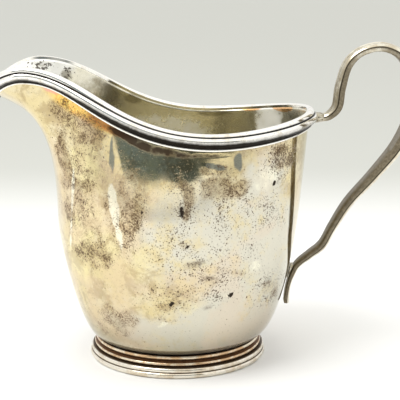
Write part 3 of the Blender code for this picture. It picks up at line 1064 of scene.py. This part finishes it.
def make_rim_joint(material):
    """The lumpy collar of solder that holds the handle's end to the rim moulding."""
    sections = []
    for i in range(JOINT_RINGS + 1):
        share = i / JOINT_RINGS
        x = JOINT_FROM + (JOINT_TO - JOINT_FROM) * share
        flare = (1.0 + JOINT_FLARE * (1.0 - share) ** 2) * (1.0 - JOINT_TAPER * share**3)
        ring = []
        for k in range(JOINT_SIDES):
            turn = 2.0 * math.pi * k / JOINT_SIDES
            round_wave = math.sin(LUMPS_ROUND * turn + LUMPS_TWIST * share)
            lump = 1.0 + JOINT_LUMPS * round_wave * math.cos(LUMPS_ALONG * share)
            half_height, half_width = (size * flare * lump for size in JOINT_SIZE)
            ring.append(Vector((x, half_width * math.cos(turn), JOINT_HEIGHT + half_height * math.sin(turn))))
        sections.append(ring)
    skin = swept(sections, [[0.0] * JOINT_SIDES] * len(sections), looped=False)
    joint = finished_mesh("jug_rim_joint", skin, (material,))
    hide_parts("upper_joint_solder")


def carry_over(node, material):
    """A CAD node whose shape is right, with its finished material."""
    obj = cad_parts[node]
    obj.data.materials.clear()
    obj.data.materials.append(material)


# ---------------------------------------------------------------- surroundings

CAMERA_RIGHT = 0.00716  # the camera stands this far right of the foot's centre line
CAMERA_DISTANCE = 0.350
CAMERA_HEIGHT = 0.12302
CAMERA_TILT = 11.944  # degrees down from level
CAMERA_LENS = 102.65
SENSOR_WIDTH = 36.0

FLOOR_RADIUS = 6.0
FLOOR_SIDES = 96
FLOOR_NEAR = (0.93, 0.93, 0.93)
FLOOR_SHADED_FAR = (0.56, 0.565, 0.53)
FLOOR_SHADE_FADE = (0.08, 0.34)  # how far behind the jug the painted shade turns the floor grey

# The tent as the jug reflects it, by directions in radians: heights over the horizon, and
# azimuths that are 0 straight in front and grow to the right. Each pair is where an edge starts
# and ends.
DEGREE = math.pi / 180.0
TENT_LOW = (0.92, 0.92, 0.90)
TENT_HIGH = (1.25, 1.25, 1.22)
TENT_HEIGHTS = (-5.0 * DEGREE, 60.0 * DEGREE)
STRIP_COLOUR = (1.26, 1.24, 1.17)
STRIP_HEIGHTS = (-2.0 * DEGREE, 8.0 * DEGREE)
STRIP_HALF = (40.0 * DEGREE, 70.0 * DEGREE)  # on either side of the opening's middle
OPENING_MIDDLE = -13.0 * DEGREE
OPENING_DROOP = 0.24  # how fast its lower border falls away from the middle
OPENING_BOTTOM = (14.2 * DEGREE, 14.8 * DEGREE)
OPENING_TOP = (26.0 * DEGREE, 44.0 * DEGREE)
OPENING_LEFT = (-43.5 * DEGREE, -42.0 * DEGREE)
OPENING_RIGHT = (30.0 * DEGREE, 40.0 * DEGREE)
OPENING_COLOURS = ((0.18, 0.235, 0.27), (0.10, 0.12, 0.12))
OPENING_SHADE = (-30.0 * DEGREE, 5.0 * DEGREE)  # the azimuths between its two colours
BACKDROP = (0.70, 0.71, 0.69)  # what the camera itself sees past the floor

KEY_PLACE = (-0.35, -0.25, 0.75)
KEY_AIM = (0.0, 0.0, 0.04)
KEY_SIZE = 0.5
KEY_POWER = 3.0


def make_floor():
    """A large pale disc, white round the jug and in front of it, light grey behind with painted shade."""
    bm = bmesh.new()
    bmesh.ops.create_circle(bm, cap_ends=True, radius=FLOOR_RADIUS, segments=FLOOR_SIDES)
    mesh = bpy.data.meshes.new("floor")
    bm.to_mesh(mesh)
    bm.free()
    floor = bpy.data.objects.new("floor", mesh)
    bpy.context.scene.collection.objects.link(floor)
    g = Surface("floor_paper")
    # painted shade: the floor greys behind the jug as if the light fell off there
    far = g.step(g.axes(g.place)["Y"], *FLOOR_SHADE_FADE)
    g.put(g.shader.inputs["Base Color"], g.mix(far, FLOOR_NEAR, FLOOR_SHADED_FAR))
    g.put(g.shader.inputs["Roughness"], 0.7)
    mesh.materials.append(g.material)


def tent_colour(g):
    """Pale all round, with one dim opening in front, over the camera, and a bright strip under it."""
    x, y, z = g.axes(g.place)
    azimuth = g.math("ARCTAN2", x, g.times(y, -1.0))
    height = g.math("ARCSINE", z)
    off_middle = g.math("ABSOLUTE", g.minus(azimuth, OPENING_MIDDLE))
    border = g.times(off_middle, -OPENING_DROOP)
    above = g.step(g.minus(height, border), *OPENING_BOTTOM)
    below = g.step(height, *OPENING_TOP, 1.0, 0.0)
    right_of = g.step(azimuth, *OPENING_LEFT)
    left_of = g.step(azimuth, *OPENING_RIGHT, 1.0, 0.0)
    opening = g.times(g.times(above, below), g.times(right_of, left_of))
    strip = g.times(g.step(off_middle, *STRIP_HALF, 1.0, 0.0), g.step(height, *STRIP_HEIGHTS))
    tent = g.mix(g.step(height, *TENT_HEIGHTS), TENT_LOW, TENT_HIGH)
    tent = g.mix(strip, tent, STRIP_COLOUR)
    dim = g.mix(g.step(azimuth, *OPENING_SHADE), *OPENING_COLOURS)
    return g.mix(opening, tent, dim)


def make_world():
    """The light tent, and a plain backdrop for what the camera sees past the floor."""
    world = bpy.data.worlds.new("tent")
    world.use_nodes = True
    bpy.context.scene.world = world
    tree = world.node_tree
    g = Graph(tree, tree.nodes.new("ShaderNodeTexCoord").outputs["Generated"])
    tent = tree.nodes["Background"]
    g.put(tent.inputs["Color"], tent_colour(g))
    g.put(tent.inputs["Strength"], 1.0)
    backdrop = tree.nodes.new("ShaderNodeBackground")
    g.put(backdrop.inputs["Color"], BACKDROP)
    chosen = tree.nodes.new("ShaderNodeMixShader")
    g.put(chosen.inputs[0], tree.nodes.new("ShaderNodeLightPath").outputs["Is Camera Ray"])
    g.put(chosen.inputs[1], tent.outputs[0])
    g.put(chosen.inputs[2], backdrop.outputs[0])
    g.put(tree.nodes["World Output"].inputs["Surface"], chosen.outputs[0])


def add_key_light():
    """A soft lamp high up on the left, a little in front of the jug."""
    light = bpy.data.lights.new("key", "AREA")
    light.shape = "DISK"
    light.size = KEY_SIZE
    light.energy = KEY_POWER
    lamp = bpy.data.objects.new("key", light)
    lamp.location = KEY_PLACE
    lamp.rotation_euler = (Vector(KEY_AIM) - Vector(KEY_PLACE)).to_track_quat("-Z", "Y").to_euler()
    bpy.context.scene.collection.objects.link(lamp)


def make_camera():
    """The camera, in front of the jug and a little higher than its rim."""
    data = bpy.data.cameras.new("camera")
    data.sensor_width = SENSOR_WIDTH
    data.lens = CAMERA_LENS
    camera = bpy.data.objects.new("camera", data)
    camera.location = (FOOT_X + CAMERA_RIGHT, -CAMERA_DISTANCE, CAMERA_HEIGHT)
    camera.rotation_euler = (math.radians(90.0 - CAMERA_TILT), 0.0, 0.0)
    bpy.context.scene.collection.objects.link(camera)
    bpy.context.scene.camera = camera


def main():
    """Builds the surroundings and the finished jug."""
    bpy.context.scene.view_settings.view_transform = "Standard"
    make_camera()
    make_floor()
    make_world()
    add_key_light()
    make_body()
    make_moulding(moulding_metal())
    make_foot(collar_metal(), border_metal())
    make_handle(handle_metal())
    solder = solder_metal()
    make_rim_joint(solder)
    carry_over("lower_joint_solder", solder)


main()
